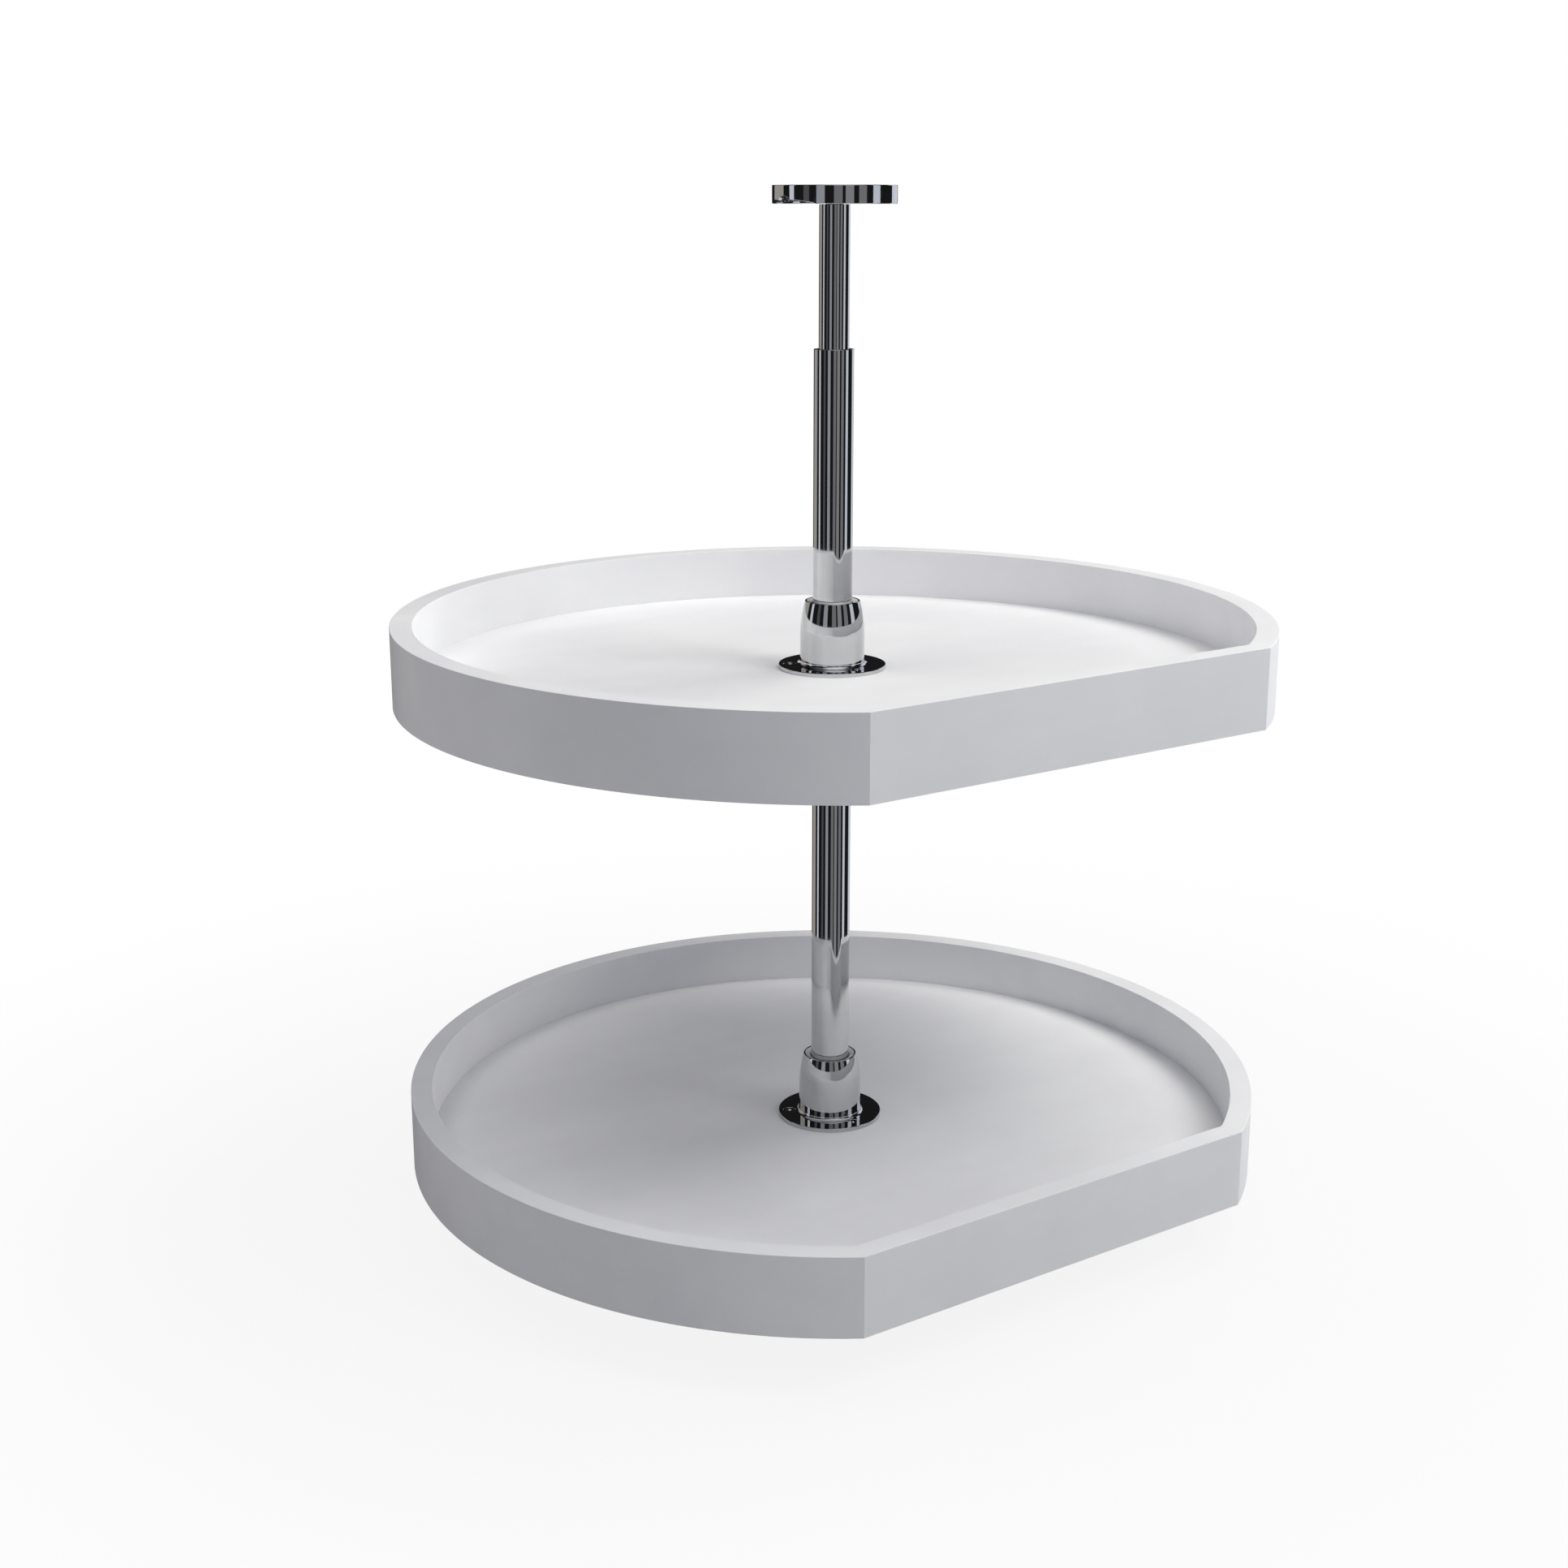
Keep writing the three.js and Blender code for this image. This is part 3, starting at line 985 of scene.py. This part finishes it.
pole = {
    "tubeRadius": 0.0125,
    "tubeBore": 0.0113,
    "tubeRounding": 0.0003,
    "rodRadius": 0.0095,
    "rodBore": 0.0085,
    "rodRounding": 0.0002,
    "guideInner": 0.00958,
    "guideOuter": 0.01128,
    "washerBore": 0.0058,
    "washerRadius": 0.012,
    "plugGap": 0.0002,    # round the foot plug, inside the tube
    "plugLift": 0.0003,    # between the plug's head and the floor washer
    "plugRounding": 0.0002,
    "pivotRadius": 0.0055,
}


def makeSleeve(name, node, bore, radius, rounding):
    # a plain ring or tube as long as its CAD node
    low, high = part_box(node)
    return turnPiece(
        name,
        [
            (bore, low.z, rounding / 2),
            (radius, low.z, rounding),
            (radius, high.z, rounding),
            (bore, high.z, rounding / 2),
        ],
    )


def makeFootPlug(name):
    low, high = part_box("foot_plug")
    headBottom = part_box("floor_washer")[1].z + pole["plugLift"]
    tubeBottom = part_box("outer_tube")[0].z
    inside = pole["tubeBore"] - pole["plugGap"]
    rounding = pole["plugRounding"]
    return turnPiece(
        name,
        [
            (0, low.z),
            (pole["pivotRadius"], low.z, rounding),
            (pole["pivotRadius"], headBottom),
            (pole["tubeRadius"], headBottom, rounding),
            (pole["tubeRadius"], tubeBottom, rounding),
            (inside, tubeBottom),
            (inside, high.z, rounding),
            (0, high.z),
        ],
    )


outerTube = makeSleeve(
    "outerTube", "outer_tube", pole["tubeBore"], pole["tubeRadius"], pole["tubeRounding"]
)
innerRod = makeSleeve(
    "innerRod", "inner_rod", pole["rodBore"], pole["rodRadius"], pole["rodRounding"]
)
guideBush = makeSleeve(
    "guideBush", "guide_bush", pole["guideInner"], pole["guideOuter"], pole["rodRounding"]
)
floorWasher = makeSleeve(
    "floorWasher", "floor_washer", pole["washerBore"], pole["washerRadius"], pole["rodRounding"]
)
finishPiece(outerTube, "chrome", "pole", "outer_tube")
finishPiece(innerRod, "chrome", "rod", "inner_rod")
finishPiece(guideBush, "black_nylon", "pole", "guide_bush")
finishPiece(floorWasher, "black_nylon", "base", "floor_washer")
finishPiece(makeFootPlug("footPlug"), "black_nylon", "pole", "foot_plug")

# the twist lock and the upper pivot are out of sight, so their CAD shapes stay, with a real finish
keptNodes = {
    "lock_sleeve": "black_nylon",
    "lock_cone": "brass",
    "lock_stud": "steel",
    "rod_plug": "steel",
    "top_pivot": "black_nylon",
}
for node, finish in keptNodes.items():
    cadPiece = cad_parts[node]
    for cadSlot in cadPiece.material_slots:
        cadSlot.material = finishes[finish]
print("stage: pole made")

# floor, studio and camera

floor = {
    "radius": 3.0,
    "sides": 96,
    "below": 0.0003,    # a hair under the floor plate, so that the two don't flicker
    "colour": (0.62, 0.62, 0.62, 1.0),
    "shadowShare": 0.12,    # how much of the object's shadow shows, close to it
    "shadowCore": 0.225,
    "shadowRadius": 0.9,    # and from here on none does
}


def makeFloor():
    selectOnly()
    bpy.ops.mesh.primitive_circle_add(
        vertices=floor["sides"], radius=floor["radius"], fill_type="NGON"
    )
    piece = nameFresh("floor")
    shiftPiece(piece, z=-floor["below"])
    material, wire, place = startFinish("paleFloor")
    isCamera = wire.node("ShaderNodeLightPath", output="Is Camera Ray")
    distance = wire.node(
        "ShaderNodeVectorMath", {"operation": "LENGTH"}, {"Vector": place}, "Value"
    )
    near = wire.between(distance, floor["shadowRadius"], floor["shadowCore"], "SMOOTHSTEP")
    matt = wire.node("ShaderNodeBsdfDiffuse", values={"Color": floor["colour"]})
    white = wire.node("ShaderNodeEmission", values={"Color": (1, 1, 1, 1), "Strength": 1.0})
    whiteShare = isCamera * (1 - near * floor["shadowShare"])
    seen = wire.node("ShaderNodeMixShader", values={0: whiteShare, 1: matt, 2: white})
    wire.node("ShaderNodeOutputMaterial", values={"Surface": seen})
    piece.data.materials.append(material)
    piece.visible_glossy = False


studio = {
    "ambient": (0.186, 0.196, 0.240, 1.0),
    "dark": paint(31, 31, 32),
    "panelLow": -0.42,
    "panelHigh": 0.52,
    "panelEdge": 0.02,
    "cameraBearing": -125.95,
    # upright panels: from and to which bearing, in degrees from the camera's, and how bright
    "panels": [
        (-145.0, -109.0, paint(180, 174, 168)),
        (-91.5, -80.4, paint(233, 236, 246)),
        (-59.6, -49.2, paint(92, 92, 95)),
        (-34.4, -19.3, paint(168, 171, 180)),
        (-1.5, 13.2, paint(130, 130, 132)),
        (19.3, 34.5, paint(150, 151, 154)),
        (44.4, 59.8, paint(135, 135, 138)),
        (74.0, 91.0, paint(228, 233, 246)),
        (128.6, 163.0, paint(233, 238, 250)),
    ],
    # a broad soft light high over the camera, that rounded chrome edges catch
    "skylight": paint(250, 251, 255),
    "skylightTowards": (-0.122, -0.454, 0.883),
    "skylightInner": 0.97,
    "skylightOuter": 0.80,
    # and a dim ceiling, that flat tops mirror when seen from above
    "ceiling": paint(118, 119, 122),
    "ceilingInner": 0.98,
    "ceilingOuter": 0.72,
}


def makeStudio():
    world = bpy.data.worlds.new("studio")
    scene.world = world
    world.use_nodes = True
    world.node_tree.nodes.clear()
    wire = Wire(world.node_tree)
    direction = wire.node("ShaderNodeTexCoord", output="Generated")
    # turned so that the camera's bearing is the middle of the ramp
    turned = wire.node(
        "ShaderNodeVectorRotate",
        {"rotation_type": "Z_AXIS"},
        {"Vector": direction, "Angle": radians(-studio["cameraBearing"])},
    )
    east, north, height = turned.split()
    bearing = wire.math("ARCTAN2", north, east) / (2 * pi) + 0.5
    stops = [(0.0, studio["dark"])]
    for start, end, colour in studio["panels"]:
        stops.append((start / 360 + 0.5, colour))
        stops.append((end / 360 + 0.5, studio["dark"]))
    panels = wire.node(
        "ShaderNodeValToRGB", {"stops": stops, "interpolation": "CONSTANT"}, {"Fac": bearing}
    )
    low, high, edge = studio["panelLow"], studio["panelHigh"], studio["panelEdge"]
    above = wire.between(height, low - edge, low + edge)
    below = wire.between(height, high + edge, high - edge)
    upwards = wire.node(
        "ShaderNodeVectorMath",
        {"operation": "DOT_PRODUCT"},
        {0: direction, 1: studio["skylightTowards"]},
        "Value",
    )
    glow = wire.between(upwards, studio["skylightOuter"], studio["skylightInner"], "SMOOTHSTEP")
    overhead = wire.between(height, studio["ceilingOuter"], studio["ceilingInner"], "SMOOTHSTEP")
    sky = wire.mix(overhead, studio["dark"], studio["ceiling"])
    sky = wire.mix(glow, sky, studio["skylight"])
    mirrored = wire.mix(above * below, sky, panels)
    isCamera = wire.node("ShaderNodeLightPath", output="Is Camera Ray")
    isGlossy = wire.node("ShaderNodeLightPath", output="Is Glossy Ray")
    isTransmission = wire.node("ShaderNodeLightPath", output="Is Transmission Ray")
    lit = wire.mix(isGlossy, studio["ambient"], mirrored)
    seen = wire.mix(wire.math("MAXIMUM", isCamera, isTransmission), lit, (1, 1, 1, 1))
    background = wire.node("ShaderNodeBackground", values={"Color": seen, "Strength": 1.0})
    wire.node("ShaderNodeOutputWorld", values={"Surface": background})


lamps = {
    "highSoftbox": {
        "place": (0.92, -0.16, 2.29),
        "power": 17.5,
        "colour": (1.0, 0.985, 0.905),
    },
    "frontSoftbox": {
        "place": (0.78, -1.35, 1.86),
        "power": 21.5,
        "colour": (1.0, 0.998, 0.974),
    },
    "sideSoftbox": {
        "place": (2.19, 0, 0.49),
        "power": 17.0,
        "colour": (1.0, 0.985, 0.928),
    },
    "backSoftbox": {
        "place": (-0.76, 0.53, 2.29),
        "power": 9.0,
        "colour": (1.0, 0.995, 0.963),
    },
    "leftSoftbox": {
        "place": (-1.87, 0, 1.47),
        "power": 2.8,
        "colour": (1.0, 0.92, 0.75),
    },
}
softbox = {
    "size": 1.1,
    "aim": (0, 0, 0.3),
}


def makeLamps():
    for name, lamp in lamps.items():
        selectOnly()
        place = Vector(lamp["place"])
        bpy.ops.object.light_add(type="AREA", location=place)
        light = bpy.context.object
        light.name = name
        facing = Vector(softbox["aim"]) - place
        light.rotation_euler = facing.to_track_quat("-Z", "Y").to_euler()
        light.data.shape = "DISK"
        light.data.size = softbox["size"]
        light.data.energy = lamp["power"]
        light.data.color = lamp["colour"]
        light.visible_camera = False
        light.visible_glossy = False


view = {
    "place": (-0.8066, -1.1122, 0.6513),
    "turn": (75.0, 0.0, -34.66),
    "lens": 50,
    "sensor": 36,
    "clipStart": 0.01,
}


def makeCamera():
    selectOnly()
    bpy.ops.object.camera_add(
        location=view["place"], rotation=[radians(angle) for angle in view["turn"]]
    )
    camera = bpy.context.object
    camera.name = "studioCamera"
    camera.data.lens = view["lens"]
    camera.data.sensor_width = view["sensor"]
    camera.data.clip_start = view["clipStart"]
    scene.camera = camera


makeFloor()
makeStudio()
makeLamps()
makeCamera()
print("stage: studio ready")

selectOnly()
